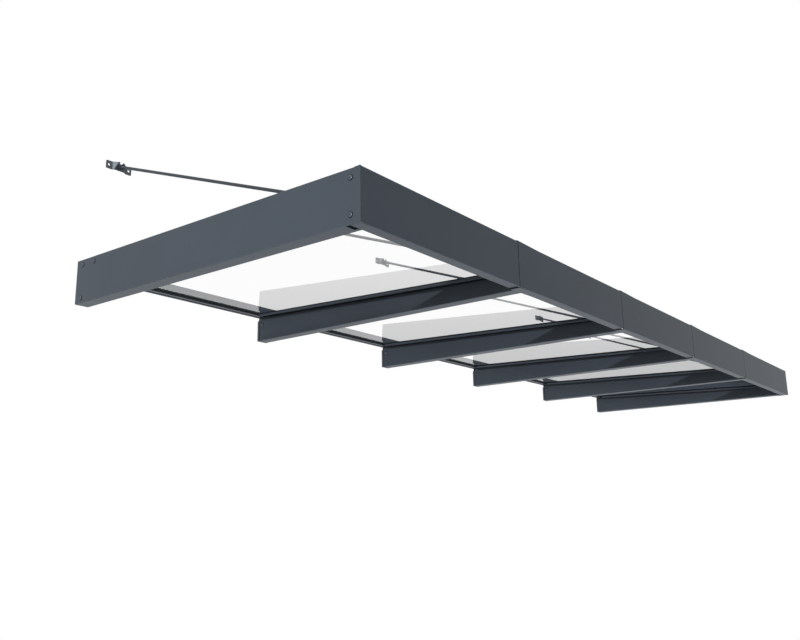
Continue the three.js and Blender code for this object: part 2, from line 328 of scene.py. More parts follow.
@dataclass(frozen=True)
class CoatFinish(Finish):
    """Sprayed and baked coat: an even colour, fine grain and a faint orange peel."""

    roughness: float = 0.39
    specular: float = 0.058
    metallic: float = 0.0
    gloss: Triple = (0.86, 0.93, 1.0)
    grain: float = 0.06
    peel: float = 0.12
    cloud_scale: float = 5.0
    grain_scale: float = 1400.0
    peel_scale: float = 420.0
    cloud_tone: Triple = (0.3, 0.7, 0.55)
    grain_tone: Triple = (0.35, 0.65, 0.45)
    rough_shift: float = -0.05
    rough_shares: Pair = (0.06, 0.04)
    bump_shares: Pair = (0.7, 0.3)

    def shader(self, graph: Graph, place: Sock) -> Sock:
        """Writes the coat's shader.

        Args:
            graph: The material's graph.
            place: Object coordinates.

        Returns:
            The shader.
        """
        cloud = graph.noise(place, self.cloud_scale, FINE_DETAIL)
        grain = graph.noise(place, self.grain_scale)
        peel = graph.noise(place, self.peel_scale)
        shade = cloud.stretched(*self.cloud_tone) + grain.stretched(*self.grain_tone)
        by_grain, by_cloud = self.rough_shares
        bumps = peel * self.bump_shares[0] + grain * self.bump_shares[1]
        return graph.principled(
            {
                "Base Color": graph.mix(shade, self.tone(1 - self.grain), self.tone(1 + self.grain)),
                "Roughness": self.roughness + self.rough_shift + grain * by_grain + cloud * by_cloud,
                "Metallic": self.metallic,
                "Specular IOR Level": self.specular,
                "Specular Tint": (*self.gloss, 1.0),
                "Normal": graph.bump(bumps, self.peel),
            }
        )


@dataclass(frozen=True)
class RubberFinish(Finish):
    """Extruded black rubber with fine lines along its length and a faint bloom."""

    roughness: float = 0.66
    rough_share: float = 0.16
    specular: float = 0.1
    relief: float = 0.25
    pale: float = 1.8
    bloom: float = 0.002
    bloom_range: Pair = (0.4, 0.8)
    bloom_share: float = 0.6
    bloom_scale: float = 14.0
    lines_share: float = 0.3
    lines_scale: Triple = (900.0, 12.0, 900.0)

    def shader(self, graph: Graph, place: Sock) -> Sock:
        """Writes the rubber's shader.

        Args:
            graph: The material's graph.
            place: Object coordinates.

        Returns:
            The shader.
        """
        lines = graph.noise(graph.stretch(place, self.lines_scale))
        bloom = graph.noise(place, self.bloom_scale, FINE_DETAIL).stretched(*self.bloom_range)
        pale = tuple(part + self.bloom for part in self.tone(self.pale))
        shade = bloom * self.bloom_share + lines * self.lines_share
        return graph.principled(
            {
                "Base Color": graph.mix(shade, self.colour, pale),
                "Roughness": self.roughness + lines * self.rough_share,
                "Specular IOR Level": self.specular,
                "Normal": graph.bump(lines, self.relief),
            }
        )


@dataclass(frozen=True)
class MouldedFinish(Finish):
    """Moulded plastic with a fine eroded texture and faint flow lines."""

    roughness: float = 0.52
    rough_share: float = 0.16
    specular: float = 0.3
    relief: float = 0.2
    tones: Pair = (0.9, 1.1)
    texture_scale: float = 900.0
    texture_depth: float = 0.3 * MM
    flow_scale: Triple = (30.0, 30.0, 9.0)

    def shader(self, graph: Graph, place: Sock) -> Sock:
        """Writes the plastic's shader.

        Args:
            graph: The material's graph.
            place: Object coordinates.

        Returns:
            The shader.
        """
        texture = graph.noise(place, self.texture_scale, FINE_DETAIL)
        flow = graph.noise(graph.stretch(place, self.flow_scale))
        dark, pale = (self.tone(share) for share in self.tones)
        return graph.principled(
            {
                "Base Color": graph.mix(texture * 0.5 + flow * 0.5, dark, pale),
                "Roughness": self.roughness + texture * self.rough_share,
                "Specular IOR Level": self.specular,
                "Normal": graph.bump(texture, self.relief, self.texture_depth),
            }
        )


@dataclass(frozen=True)
class ClearFinish(Finish):
    """Polished clear sheet: light goes straight through and the gloss is mirrored on it."""

    index: float = 1.58
    roughness: float = 0.01
    rough_share: float = 0.02
    haze_scale: float = 30.0

    def shader(self, graph: Graph, place: Sock) -> Sock:
        """Writes the sheet's shader.

        Args:
            graph: The material's graph.
            place: Object coordinates.

        Returns:
            The shader.
        """
        haze = graph.noise(place, self.haze_scale, FINE_DETAIL)
        behind = graph.node("ShaderNodeNewGeometry", {}, {}, "Backfacing")
        gloss = graph.node("ShaderNodeFresnel", {}, {"IOR": self.index}) * (1.0 - behind)
        through = graph.node("ShaderNodeBsdfTransparent", {}, {"Color": (*self.colour, 1.0)})
        inputs = {"Color": (*WHITE, 1.0), "Roughness": self.roughness + haze * self.rough_share}
        mirror = graph.node("ShaderNodeBsdfAnisotropic", {"distribution": "GGX"}, inputs)
        return graph.blend(gloss, through, mirror)


@dataclass(frozen=True)
class SawnEdgeFinish(Finish):
    """Sawn edge of a clear sheet: pale, frosted, with fine saw marks."""

    roughness: float = 0.3
    rough_share: float = 0.3
    relief: float = 0.3
    dark: float = 0.8
    marks_scale: Triple = (600.0, 600.0, 40.0)

    def shader(self, graph: Graph, place: Sock) -> Sock:
        """Writes the edge's shader.

        Args:
            graph: The material's graph.
            place: Object coordinates.

        Returns:
            The shader.
        """
        marks = graph.noise(graph.stretch(place, self.marks_scale), detail=FINE_DETAIL)
        return graph.principled(
            {
                "Base Color": graph.mix(marks, self.tone(self.dark), self.colour),
                "Roughness": self.roughness + marks * self.rough_share,
                "Normal": graph.bump(marks, self.relief),
            }
        )


@dataclass(frozen=True)
class FloorFinish(Finish):
    """Pale matt floor with a faint grain."""

    pale: Triple
    roughness: float = 0.8
    rough_share: float = 0.1
    specular: float = 0.1
    cloud_scale: float = 0.8
    cloud_detail: float = 4.0
    cloud_share: float = 0.6
    grain_scale: float = 160.0
    grain_share: float = 0.4

    def shader(self, graph: Graph, place: Sock) -> Sock:
        """Writes the floor's shader.

        Args:
            graph: The material's graph.
            place: Object coordinates.

        Returns:
            The shader.
        """
        cloud = graph.noise(place, self.cloud_scale, self.cloud_detail)
        grain = graph.noise(place, self.grain_scale)
        shade = cloud * self.cloud_share + grain * self.grain_share
        return graph.principled(
            {
                "Base Color": graph.mix(shade, self.colour, self.pale),
                "Roughness": self.roughness + grain * self.rough_share,
                "Specular IOR Level": self.specular,
            }
        )


@dataclass
class Palette:
    """The canopy's materials."""

    coat: bpy.types.Material
    bar: bpy.types.Material
    cap: bpy.types.Material
    clear: bpy.types.Material
    edge: bpy.types.Material
    rubber: bpy.types.Material
    rod: bpy.types.Material
    bracket: bpy.types.Material
    screw: bpy.types.Material

    @classmethod
    def make(cls) -> "Palette":
        """Builds every material.

        Returns:
            The palette.
        """
        return cls(
            coat=CoatFinish("powder_coat", linear(71, 77, 84)).make(),
            bar=CoatFinish("bar_coat", linear(66, 72, 79)).make(),
            cap=MouldedFinish("cap_plastic", linear(78, 83, 89)).make(),
            clear=ClearFinish("clear_sheet", linear(253, 253, 253)).make(),
            edge=SawnEdgeFinish("sheet_edge", linear(176, 190, 194)).make(),
            rubber=RubberFinish("rubber", linear(9, 11, 13)).make(),
            rod=CoatFinish("rod_paint", linear(62, 66, 71), 0.4, 0.2, metallic=0.45).make(),
            bracket=CoatFinish("bracket_paint", linear(84, 88, 93), 0.44, 0.1, metallic=0.85).make(),
            screw=CoatFinish("screw_paint", linear(74, 80, 87), 0.3, 0.35).make(),
        )


@dataclass(frozen=True)
class RoofPlane:
    """The undersides of the clear sheets, which fall to the front."""

    slope: float = math.radians(2.1)
    height: float = -14.45 * MM

    @property
    def matrix(self) -> Matrix:
        """From the roof's own axes to the frame's."""
        return Matrix.Translation((0, 0, self.height)) @ Matrix.Rotation(self.slope, 4, "X")

    @property
    def normal(self) -> Vector:
        """Upwards, square to the roof."""
        return Vector((0, -math.sin(self.slope), math.cos(self.slope)))


ROOF = RoofPlane()


def verts_of(geom: Iterable) -> list[BMVert]:
    """The vertices among an operator's results."""
    return [part for part in geom if isinstance(part, BMVert)]


def is_foot_end(edge: BMEdge, depth: float, height: float) -> bool:
    """Whether an edge is the end, at a depth, of what a sheet has below a height."""
    return all(abs(vert.co.y - depth) < TINY and vert.co.z < height + TINY for vert in edge.verts)


class Workpiece:
    """A piece while it is being shaped."""

    def __init__(self) -> None:
        """Starts with an empty mesh."""
        self.bm = bmesh.new()

    @classmethod
    def folded(cls, section: Section, run: Run, ends: Pair, outward: Vector, bend: float) -> "Workpiece":
        """Draws a folded sheet as a surface, to be given its thickness later.

        Args:
            section: The line of its outer face.
            run: The axis along which the section is drawn.
            ends: Where it starts and ends on that axis.
            outward: Outward direction of the section's first face.
            bend: Outer radius of the folds.

        Returns:
            The sheet.
        """
        work = cls()
        verts = [work.bm.verts.new(run.point(ends[0], *place)) for place in section]
        edges = [work.bm.edges.new(pair) for pair in zip(verts, verts[1:])]
        made = bmesh.ops.extrude_edge_only(work.bm, edges=edges)["geom"]
        bmesh.ops.translate(work.bm, verts=verts_of(made), vec=run.point(ends[1] - ends[0]))
        bmesh.ops.recalc_face_normals(work.bm, faces=work.bm.faces[:])
        if edges[0].link_faces[0].normal.dot(outward) < 0:
            bmesh.ops.reverse_faces(work.bm, faces=work.bm.faces[:])
        work.bevel([edge for edge in work.bm.edges if len(edge.link_faces) == 2], bend, FOLD_FACETS)
        return work

    def extruded(self, outline: Section, run: Run, ends: Pair) -> None:
        """Adds a solid bar.

        Args:
            outline: Its closed section.
            run: The axis along which the section is drawn.
            ends: Where it starts and ends on that axis.
        """
        face = self.bm.faces.new([self.bm.verts.new(run.point(ends[0], *place)) for place in outline])
        made = bmesh.ops.extrude_face_region(self.bm, geom=[face])["geom"]
        bmesh.ops.translate(self.bm, verts=verts_of(made), vec=run.point(ends[1] - ends[0]))

    def block(self, low: Sequence[float], high: Sequence[float]) -> None:
        """Adds a box.

        Args:
            low: Its lowest corner.
            high: Its highest corner.
        """
        low, high = Vector(low), Vector(high)
        matrix = Matrix.Translation((low + high) / 2) @ Matrix.Diagonal((*(high - low), 1.0))
        bmesh.ops.create_cube(self.bm, size=1.0, matrix=matrix)

    def turned(self, profile: Section, steps: int) -> None:
        """Adds a body turned about Y.

        Args:
            profile: Its points, as radius and place along Y.
            steps: Number of facets around it.
        """
        old = set(self.bm.verts)
        verts = [self.bm.verts.new((radius, along, 0)) for radius, along in profile]
        edges = [self.bm.edges.new(pair) for pair in zip(verts, verts[1:])]
        bmesh.ops.spin(
            self.bm,
            geom=verts + edges,
            cent=(0, 0, 0),
            axis=(0, 1, 0),
            dvec=(0, 0, 0),
            angle=math.tau,
            steps=steps,
            use_merge=True,
        )
        fresh = [vert for vert in self.bm.verts if vert not in old]
        bmesh.ops.remove_doubles(self.bm, verts=fresh, dist=TINY)

    def under_roof(self, lift: float, test: FaceTest | None = None) -> None:
        """Cuts away what rises past the roof plane.

        Args:
            lift: Height of the cut above the plane.
            test: Chooses the faces that are cut, or None for all.
        """
        faces = [face for face in self.bm.faces if test is None or test(face)]
        edges = dict.fromkeys(edge for face in faces for edge in face.edges)
        verts = dict.fromkeys(vert for face in faces for vert in face.verts)
        bmesh.ops.bisect_plane(
            self.bm,
            geom=[*verts, *edges, *faces],
            plane_co=(0, 0, ROOF.height + lift),
            plane_no=ROOF.normal,
            clear_outer=True,
        )

    def split(self, run: Run, along: float) -> None:
        """Splits every face by a plane square to an axis."""
        geom = [*self.bm.verts, *self.bm.edges, *self.bm.faces]
        bmesh.ops.bisect_plane(self.bm, geom=geom, plane_co=run.point(along), plane_no=run.point(1.0))

    def without(self, test: FaceTest) -> None:
        """Takes the chosen faces away."""
        faces = [face for face in self.bm.faces if test(face)]
        bmesh.ops.delete(self.bm, geom=faces, context="FACES")

    def grown(self, test: EdgeTest, step: Vector) -> None:
        """Adds a strip to the chosen edges of a sheet.

        Args:
            test: Chooses among the sheet's open edges.
            step: Direction and width of the strip.
        """
        edges = [edge for edge in self.bm.edges if edge.is_boundary and test(edge)]
        made = bmesh.ops.extrude_edge_only(self.bm, edges=edges)["geom"]
        bmesh.ops.translate(self.bm, verts=verts_of(made), vec=step)

    def thick(self, metal: float) -> None:
        """Gives a sheet its thickness, inwards."""
        bmesh.ops.solidify(self.bm, geom=self.bm.faces[:], thickness=metal)

    def bevel(self, geom: Sequence[BMEdge | BMVert], radius: float, segments: int) -> None:
        """Rounds edges, or the corners of a sheet.

        Args:
            geom: The edges, or the corners' vertices.
            radius: How far the rounding reaches.
            segments: Number of its facets.
        """
        at_corners = any(isinstance(part, BMVert) for part in geom)
        bmesh.ops.bevel(
            self.bm,
            geom=geom,
            offset=radius,
            offset_type="OFFSET",
            segments=segments,
            profile=0.5,
            affect="VERTICES" if at_corners else "EDGES",
            material=-1,
            clamp_overlap=True,
        )

    def eased(self, radius: float, segments: int = 2, angle: float = 50.0) -> None:
        """Rounds every sharp edge.

        Args:
            radius: How far the rounding reaches.
            segments: Number of its facets.
            angle: Least angle of a sharp edge, in degrees.
        """
        limit = math.radians(angle)
        shared = (edge for edge in self.bm.edges if len(edge.link_faces) == 2)
        self.bevel([edge for edge in shared if edge.calc_face_angle() > limit], radius, segments)

    def moved(self, matrix: Matrix, verts: Iterable[BMVert] | None = None) -> None:
        """Moves the given vertices, or all of them."""
        chosen = list(self.bm.verts if verts is None else verts)
        bmesh.ops.transform(self.bm, matrix=matrix, verts=chosen)

    def painted(self, index: int, test: FaceTest) -> None:
        """Gives the chosen faces another of the piece's materials."""
        for face in filter(test, self.bm.faces):
            face.material_index = index

    def finished(
        self,
        name: str,
        slot: Slot,
        materials: Sequence[bpy.types.Material],
        nodes: Sequence[str] = (),
    ) -> bpy.types.Object:
        """Turns the workpiece into an object of the scene.

        Args:
            name: The piece's name.
            slot: The record's slot for the piece, which is not used.
            materials: Its materials, the first on every face not painted otherwise.
            nodes: The solids it stands for.

        Returns:
            The finished object.
        """
        bmesh.ops.recalc_face_normals(self.bm, faces=self.bm.faces[:])
        for face in self.bm.faces:
            face.smooth = True
        mesh = bpy.data.meshes.new(name)
        self.bm.to_mesh(mesh)
        self.bm.free()
        mesh.set_sharp_from_angle(angle=SHARP_ANGLE)
        for material in materials:
            mesh.materials.append(material)
        piece = bpy.data.objects.new(name, mesh)
        bpy.context.scene.collection.objects.link(piece)
        flat = piece.modifiers.new("flat_faces", "WEIGHTED_NORMAL")
        flat.keep_sharp = True
        flat.weight = FACE_WEIGHT
        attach(piece, BODY)
        if nodes:
            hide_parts(*nodes)
        return piece


@dataclass(frozen=True)
class Extent:
    """The box of a solid of the frame."""

    low: Vector
    high: Vector

    @classmethod
    def of(cls, node: str) -> "Extent":
        """The box of a node."""
        low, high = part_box(node)
        return cls(Vector(low), Vector(high))

    @property
    def centre(self) -> Vector:
        """The box's middle."""
        return (self.low + self.high) / 2

    def face(self, side: Side) -> float:
        """Where the box's left or right face lies."""
        return self.low.x if side is Side.LEFT else self.high.x


@dataclass
class Assembly:
    """A sub-assembly of the canopy, with the materials that dress it."""

    palette: Palette

    def build(self) -> Pieces:
        """Builds the sub-assembly's pieces."""
        raise NotImplementedError


@dataclass
class Fascia(Assembly):
    """One front piece: face, underside with the rain channel's lip, and top fold.

    The left end of every piece but the first is opened out a little in height, where it laps its neighbour.
    """

    index: int
    metal: float = 2.0 * MM
    underside: float = 28.5 * MM
    lip: float = 12.0 * MM
    top_fold: float = 14.0 * MM
    bend: float = 2.4 * MM
    ease: float = 0.25 * MM
    seam_trim: float = 1.0 * MM
    # How far back the black strip that paints the seam's shade is set.
    seal_inset: float = 0.9 * MM
    flare: float = 2.4 * MM
    flare_length: float = 100.0 * MM

    def build(self) -> Pieces:
        """Builds the piece, and the black strip in the seam to its right, which paints the seam's shade.

        Returns:
            The panel, and the painted seam shade where the piece has one.
        """
        node = f"fascia_{self.index}"
        box = Extent.of(node)
        left = box.low.x + (0 if self.index == 1 else self.seam_trim)
        right = box.high.x - (0 if self.index == BAYS else self.seam_trim)
        work = self._folded(box, (left, right))
        if self.index > 1:
            work.split(Run.X, left + self.flare_length)
            self._open_out(work, box, left)
        work.thick(self.metal)
        work.eased(self.ease)
        name = f"fascia_panel_{self.index}"
        pieces = [work.finished(name, Slot.POWDER_COAT, [self.palette.coat], [node])]
        # Painted shade: a black rubber strip, set back in the seam, stands in for the shade inside the gap.
        if self.index < BAYS:
            following = Extent.of(f"fascia_{self.index + 1}").low.x + self.seam_trim
            seal = self._folded(box, (right, following), self.seal_inset)
            self._open_out(seal, box, following)
            seal.thick(self.metal - self.seal_inset)
            pieces.append(seal.finished(f"seam_seal_{self.index}", Slot.GASKET, [self.palette.rubber]))
        return pieces

    def _folded(self, box: Extent, ends: Pair, inset: float = 0.0) -> Workpiece:
        """Draws the folded sheet.

        Args:
            box: The piece's box.
            ends: Where the sheet starts and ends along the front.
            inset: How far its face is set back.

        Returns:
            The sheet.
        """
        front, bottom, top = box.low.y + inset, box.low.z, box.high.z
        back = box.low.y + self.underside
        section = [
            (box.low.y + self.top_fold, top),
            (front, top),
            (front, bottom),
            (back, bottom),
            (back, bottom + self.lip),
        ]
        return Workpiece.folded(section, Run.X, ends, Run.Z.point(1.0), self.bend)

    def _open_out(self, work: Workpiece, box: Extent, end: float) -> None:
        """Makes the part of a sheet that lies left of an end taller, by the flare above and below.

        Args:
            work: The sheet.
            box: The piece's box.
            end: Where the taller part ends.
        """
        middle = Matrix.Translation((0, 0, box.centre.z))
        taller = Matrix.Diagonal((1, 1, 1 + 2 * self.flare / (box.high.z - box.low.z), 1))
        verts = [vert for vert in work.bm.verts if vert.co.x < end + TINY]
        work.moved(middle @ taller @ middle.inverted(), verts)


@dataclass
class SidePanel(Assembly):
    """An end of the frame: tall skin, underside and inner leg, with a top fold.

    Only the skin reaches the fascia. The underside stops at a drain slot, behind which a black rubber block
    paints the shade inside the slot.
    """

    side: Side
    metal: float = 2.0 * MM
    width: float = 38.0 * MM
    top_fold: float = 14.0 * MM
    fold_front: float = -905.7 * MM
    leg_front: float = -882.5 * MM
    leg_drop: float = -8.0 * MM
    foot_front: float = -891.2 * MM
    bend: float = 2.4 * MM
    ease: float = 0.25 * MM
    slot_length: float = 28.0 * MM
    # Overlap, gap and rounding of the black block that paints the drain slot's shade.
    flap_lap: float = 4.0 * MM
    flap_gap: float = 0.4 * MM
    flap_ease: float = 0.4 * MM

    def build(self) -> Pieces:
        """Builds the panel, and the black block that paints the shade in its drain slot.

        Returns:
            The panel and the painted shade block.
        """
        node = f"side_panel_{self.side.word}"
        box = Extent.of(node)
        work = self._folded(box)
        self._cut_front(work, box)
        work.thick(self.metal)
        work.eased(self.ease)
        name = f"side_channel_{self.side.word}"
        panel = work.finished(name, Slot.POWDER_COAT, [self.palette.coat], [node])
        return [panel, self._flap(box)]

    def _folded(self, box: Extent) -> Workpiece:
        """Draws the folded sheet at its full length.

        Args:
            box: The panel's box.

        Returns:
            The sheet.
        """
        skin, inward = box.face(self.side), -self.side.value
        fold, leg = (skin + inward * part for part in (self.top_fold, self.width))
        bottom, top = box.low.z, box.high.z
        section = [(fold, top), (skin, top), (skin, bottom), (leg, bottom), (leg, ROOF.height)]
        return Workpiece.folded(section, Run.Y, (box.low.y, box.high.y), Run.Z.point(1.0), self.bend)

    def _cut_front(self, work: Workpiece, box: Extent) -> None:
        """Cuts back what the fascia takes the place of, and the leg under the roof.

        Args:
            work: The folded sheet.
            box: The panel's box.
        """
        skin, bottom, top = box.face(self.side), box.low.z, box.high.z

        def in_corner(face: BMFace) -> bool:
            """Whether a face lies where only the skin reaches.

            Args:
                face: A face of the sheet.

            Returns:
                True for a face that is cut away.
            """
            place = face.calc_center_median()
            off_skin = abs(place.x - skin)
            is_fold = place.z > box.centre.z and off_skin < self.top_fold
            return off_skin > HAIR and place.y < (self.fold_front if is_fold else self.leg_front)

        def is_leg(face: BMFace) -> bool:
            """Whether a face is of the inner leg."""
            return abs(face.calc_center_median().x - skin) > self.width - HAIR

        def is_foot(edge: BMEdge) -> bool:
            """Whether an edge is the end of the underside beside the drain slot."""
            past_slot = all(abs(vert.co.x - skin) > self.slot_length - TINY for vert in edge.verts)
            return past_slot and is_foot_end(edge, self.leg_front, bottom + self.bend)

        work.split(Run.Y, self.leg_front)
        work.split(Run.Y, self.fold_front)
        work.without(in_corner)
        is_low_rim = partial(self._is_rim, height=bottom + self.bend, back=self.leg_front)
        work.grown(is_low_rim, Run.Z.point(-self.bend))
        is_high_rim = partial(self._is_rim, height=top - self.bend, back=self.fold_front)
        work.grown(is_high_rim, Run.Z.point(self.bend))
        work.split(Run.X, skin - self.side.value * self.slot_length)
        work.grown(is_foot, Run.Y.point(self.foot_front - self.leg_front))
        work.under_roof(self.leg_drop, is_leg)

    @staticmethod
    def _is_rim(edge: BMEdge, height: float, back: float) -> bool:
        """Whether an edge is a level rim of the skin in front of a depth."""
        return all(abs(vert.co.z - height) < TINY and vert.co.y < back + TINY for vert in edge.verts)

    def _flap(self, box: Extent) -> bpy.types.Object:
        """Builds the black rubber block over the drain slot, inside the panel, which paints the shade in
        the slot.

        Args:
            box: The panel's box.

        Returns:
            The painted shade block.
        """
        reach = (self.metal + self.flap_gap, self.slot_length + self.flap_lap)
        left, right = sorted(box.face(self.side) - self.side.value * part for part in reach)
        floor = box.low.z + self.metal
        # Painted shade: the black block makes the drain slot read as a dark hollow.
        drain_shade = Workpiece()
        drain_shade.block(
            (left, self.foot_front, floor + self.flap_gap),
            (right, self.leg_front + self.flap_lap, floor + self.metal),
        )
        drain_shade.eased(self.flap_ease)
        return drain_shade.finished(f"drain_flap_{self.side.word}", Slot.GASKET, [self.palette.rubber])


@dataclass
class CornerAngle(Assembly):
    """An angle inside a corner of the frame, on the side panel and on the wall or the fascia."""

    side: Side
    end: End
    metal: float = 2.0 * MM
    bend: float = 2.6 * MM
    ease: float = 0.3 * MM

    def build(self) -> Pieces:
        """Builds the angle.

        Returns:
            The angle alone.
        """
        at_wall = self.end is End.WALL
        word = "wall" if at_wall else "corner"
        node = f"{word}_angle_{self.side.word}"
        box = Extent.of(node)
        outer, inner = box.face(self.side), box.face(Side(-self.side.value))
        face, free = (box.high.y, box.low.y) if at_wall else (box.low.y, box.high.y)
        section = [(outer, free), (outer, face), (inner, face)]
        outward = Run.X.point(self.side.value)
        work = Workpiece.folded(section, Run.Z, (box.low.z, box.high.z), outward, self.bend)
        work.thick(self.metal)
        work.eased(self.ease)
        name = f"{word}_cleat_{self.side.word}"
        return [work.finished(name, Slot.POWDER_COAT, [self.palette.coat], [node])]


@dataclass
class RafterCover(Assembly):
    """A channel, open at the top: its legs follow the roof's fall and its underside meets the fascia."""

    index: int
    metal: float = 2.0 * MM
    bend: float = 2.2 * MM
    ease: float = 0.25 * MM
    leg_front: float = -885.0 * MM
    leg_drop: float = -8.0 * MM
    back_trim: float = 0.7 * MM

    def build(self) -> Pieces:
        """Builds the channel.

        Returns:
            The channel alone.
        """
        node = f"rafter_cover_{self.index}"
        box = Extent.of(node)
        left, right, bottom = box.low.x, box.high.x, box.low.z
        section = [(left, ROOF.height), (left, bottom), (right, bottom), (right, ROOF.height)]
        ends = (self.leg_front, box.high.y - self.back_trim)
        work = Workpiece.folded(section, Run.Y, ends, Run.X.point(-1.0), self.bend)
        work.under_roof(self.leg_drop)
        is_foot = partial(is_foot_end, depth=self.leg_front, height=bottom + self.bend)
        work.grown(is_foot, Run.Y.point(box.low.y - self.leg_front))
        work.thick(self.metal)
        work.eased(self.ease)
        name = f"rafter_channel_{self.index}"
        return [work.finished(name, Slot.POWDER_COAT, [self.palette.coat], [node])]


@dataclass
class RafterEndCap(Assembly):
    """The moulded cap in a rafter's back end, with a cut top corner, and above it a black rubber block that
    paints the shade in the rafter's hollow.
    """

    index: int
    face: float = 7.6 * MM
    chamfer: float = 6.0 * MM
    spigot_inset: float = 2.3 * MM
    spigot_top: float = 15.0 * MM
    # The black block above the cap paints the shade in the rafter's hollow.
    block_ends: Pair = (-33.0 * MM, -8.5 * MM)
    block_inset: float = 4.6 * MM
    block_heights: Pair = (0.3 * MM, 7.0 * MM)
    ease: float = 0.6 * MM
    ease_facets: int = 3
    ease_angle: float = 30.0

    def build(self) -> Pieces:
        """Builds the cap and the painted shade block above it.

        Returns:
            The cap and the painted shade block.
        """
        node = f"rafter_end_cap_{self.index}"
        box = Extent.of(node)
        return [self._cap(node, box), self._block(box)]

    def _cap(self, node: str, box: Extent) -> bpy.types.Object:
        """Builds the cap, whose spigot is painted black as the shade inside the rafter.

        Args:
            node: The solid it stands for.
            box: That solid's box.

        Returns:
            The cap.
        """
        back, top, bottom = box.high.y, box.high.z, box.low.z
        front = back - self.face
        outline = [
            (front, bottom),
            (back, bottom),
            (back, top - self.chamfer),
            (back - self.chamfer, top),
            (front, top),
        ]
        work = Workpiece()
        work.extruded(outline, Run.X, (box.low.x, box.high.x))
        inset = Vector((self.spigot_inset, 0, self.spigot_inset))
        work.block(box.low + inset, (box.high.x - self.spigot_inset, front, top - self.spigot_top))
        work.eased(self.ease, self.ease_facets, self.ease_angle)
        # Painted shade: the spigot's faces, in the rafter's hollow, take the black rubber.
        work.painted(1, lambda face: face.calc_center_median().y < front + TINY)
        materials = [self.palette.cap, self.palette.rubber]
        return work.finished(f"rafter_cap_{self.index}", Slot.END_CAP, materials, [node])

    def _block(self, box: Extent) -> bpy.types.Object:
        """Builds the black rubber block between the cap and the bar, which paints the shade there.

        Args:
            box: The cap's box.

        Returns:
            The painted shade block.
        """
        front, back = self.block_ends
        low, high = (box.high.z + height for height in self.block_heights)
        # Painted shade: a black block in the gap above the cap.
        work = Workpiece()
        work.block((box.low.x + self.block_inset, front, low), (box.high.x - self.block_inset, back, high))
        work.eased(self.ease)
        return work.finished(f"rafter_stop_{self.index}", Slot.GASKET, [self.palette.rubber])


@dataclass
class RoofBar(Assembly):
    """A bar that carries the sheets' edges: clamping cap, web, flange with lips, and stems.

    A bar over a rafter has two hands, and a plate that ties two fascia pieces together. A bar along a side
    panel has one. The flange's wings stop in front of the wall rails' shelves.
    """

    node: str
    centre: float
    hands: tuple[int, ...]
    fronts: Pair = (-914.8 * MM, -917.0 * MM)
    back: float = -4.4 * MM
    flange_back: float = -41.5 * MM
    sheet_front: float = -899.0 * MM
    web: float = 1.5 * MM
    cap_half: float = 20.0 * MM
    cap_heights: Pair = (5.5 * MM, 7.5 * MM)
    cap_crown: float = 0.9 * MM
    flange_half: float = 42.0 * MM
    flange_heights: Pair = (-5.0 * MM, -3.0 * MM)
    lip_bottom: float = -9.5 * MM
    lip_width: float = 2.0 * MM
    stem: Pair = (13.2 * MM, 15.2 * MM)
    stem_bottom: float = -24.0 * MM
    stem_back: float = -18.5 * MM
    ease: float = 0.4 * MM
    splice_across: Pair = (-75.0 * MM, 40.0 * MM)
    splice_heights: Pair = (18.0 * MM, 40.0 * MM)
    splice_metal: float = 2.0 * MM

    def build(self) -> Pieces:
        """Builds the bar.

        Returns:
            The bar alone.
        """
        front = self.fronts[len(self.hands) - 1]
        work = Workpiece()
        work.extruded(self._cap_outline(), Run.Y, (self.sheet_front, self.back))
        work.extruded(self._flange_outline(), Run.Y, (front, self.flange_back))
        left, right = self._reach(self.stem[1])
        low, high = self.flange_heights
        work.block((left, self.flange_back, low), (right, self.back, high))
        for hand in self.hands:
            left, right = sorted(self.centre + hand * part for part in self.stem)
            work.block((left, front, self.stem_bottom), (right, self.stem_back, low))
        work.eased(self.ease)
        work.moved(ROOF.matrix)
        if len(self.hands) == len(Side):
            self._add_splice(work)
        name = f"roof_bar_{self.node.rsplit('_', 1)[1]}"
        return [work.finished(name, Slot.BAR, [self.palette.bar], [self.node])]

    def _reach(self, half: float) -> Pair:
        """Ends across the bar of a part that reaches out on each side the bar has.

        Args:
            half: How far the part reaches.

        Returns:
            The left and the right end.
        """
        left = -half if Side.LEFT.value in self.hands else -self.web
        right = half if Side.RIGHT.value in self.hands else self.web
        return self.centre + left, self.centre + right

    def _cap_outline(self) -> list[Pair]:
        """Section of the clamping cap and its web.

        Returns:
            The outline's points, with none twice where the cap has no wing.
        """
        left, right = self._reach(self.cap_half)
        web_left, web_right = self.centre - self.web, self.centre + self.web
        low, high = self.cap_heights
        rim, foot = high - self.cap_crown, self.flange_heights[1]
        points = [(left, rim), (left, low), (web_left, low), (web_left, foot), (web_right, foot)]
        points += [(web_right, low), (right, low), (right, rim), (web_right, high), (web_left, high)]
        return [point for i, point in enumerate(points) if point != points[i - 1]]

    def _flange_outline(self) -> list[Pair]:
        """Section of the flange, with a lip on each side the bar has.

        Returns:
            The outline's points.
        """
        left, right = self._reach(self.flange_half)
        low, high = self.flange_heights
        points = [(left, high)]
        if Side.LEFT.value in self.hands:
            inner = left + self.lip_width
            points += [(left, self.lip_bottom), (inner, self.lip_bottom), (inner, low)]
        else:
            points += [(left, low)]
        if Side.RIGHT.value in self.hands:
            inner = right - self.lip_width
            points += [(inner, low), (inner, self.lip_bottom), (right, self.lip_bottom)]
        else:
            points += [(right, low)]
        return [*points, (right, high)]

    def _add_splice(self, work: Workpiece) -> None:
        """Adds the plate that ties two fascia pieces together.

        Args:
            work: The bar.
        """
        front = Extent.of(self.node).low.y
        bottom = Extent.of("fascia_1").low.z
        left, right = (self.centre + part for part in self.splice_across)
        low, high = (bottom + height for height in self.splice_heights)
        work.block((left, front, low), (right, front + self.splice_metal, high))


